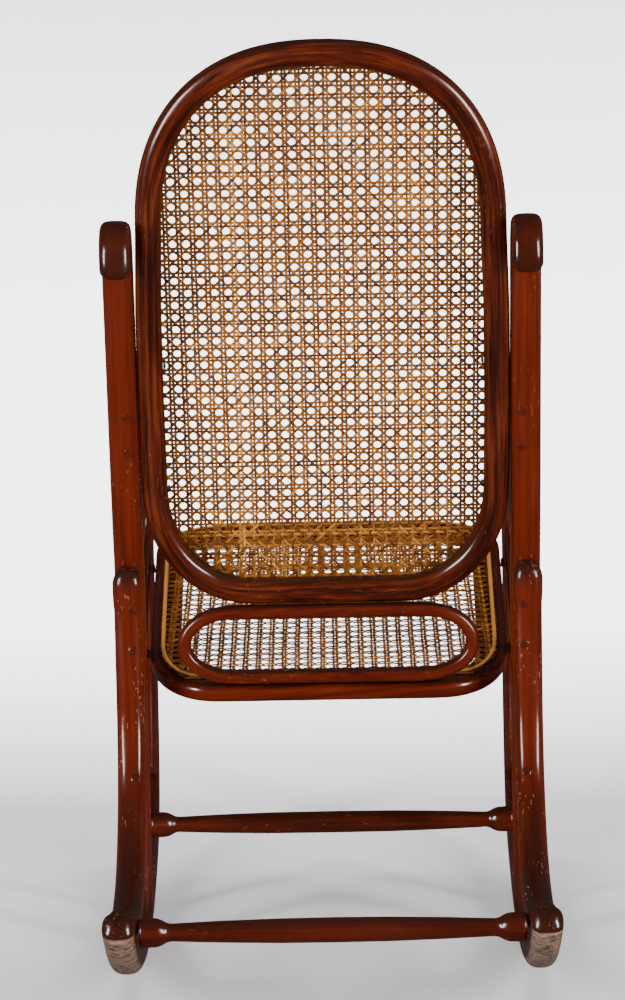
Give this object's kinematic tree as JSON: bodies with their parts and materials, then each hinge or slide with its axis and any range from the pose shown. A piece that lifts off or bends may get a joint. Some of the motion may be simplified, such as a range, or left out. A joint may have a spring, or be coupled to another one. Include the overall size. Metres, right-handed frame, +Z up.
{
  "type": "bentwood rocking chair",
  "caption": "Bentwood rocking chair with a high arched cane back, a tilted cane seat, scrolled back posts, curved arms and long rolling runners joined by turned stretchers.",
  "frame": {"origin": "On the floor, under the middle of the chair's bounding box.", "axes": "+Z is up. +X is the sitter's left, and the chair is symmetric about the plane x = 0. -Y is the front, where the sitter faces, and +Y the rear, where the runners' tails point."},
  "size_m": [0.5056, 0.9356, 0.9946],
  "materials": {
    "wood": "red-brown stained beech under worn gloss varnish",
    "cane": "split rattan cane, golden brown, semi-gloss",
    "steel": "dark tarnished steel"
  },
  "bodies": {
    "root": {"back_frame": "wood", "back_cane": "cane", "back_cane_binder": "cane", "lumbar_ring": "wood", "seat_frame": "wood", "seat_cane": "cane", "seat_cane_binder": "cane", "front_stretcher": "wood", "rear_stretcher": "wood", "left_back_post": "wood", "left_rear_leg": "wood", "left_runner": "wood", "left_arm": "wood", "left_side_hoop": "wood", "left_runner_brace": "wood", "left_rear_seat_washer": "wood", "left_front_seat_washer": "wood", "left_upper_arm_plug": "wood", "left_lower_arm_plug": "wood", "left_upper_leg_plug": "wood", "left_middle_leg_plug": "wood", "left_lower_leg_plug": "wood", "left_upper_back_screw": "steel", "left_lower_back_screw": "steel", "left_ring_screw": "steel", "right_back_post": "wood", "right_rear_leg": "wood", "right_runner": "wood", "right_arm": "wood", "right_side_hoop": "wood", "right_runner_brace": "wood", "right_rear_seat_washer": "wood", "right_front_seat_washer": "wood", "right_upper_arm_plug": "wood", "right_lower_arm_plug": "wood", "right_upper_leg_plug": "wood", "right_middle_leg_plug": "wood", "right_lower_leg_plug": "wood", "right_upper_back_screw": "steel", "right_lower_back_screw": "steel", "right_ring_screw": "steel"}
  },
  "joints": []
}
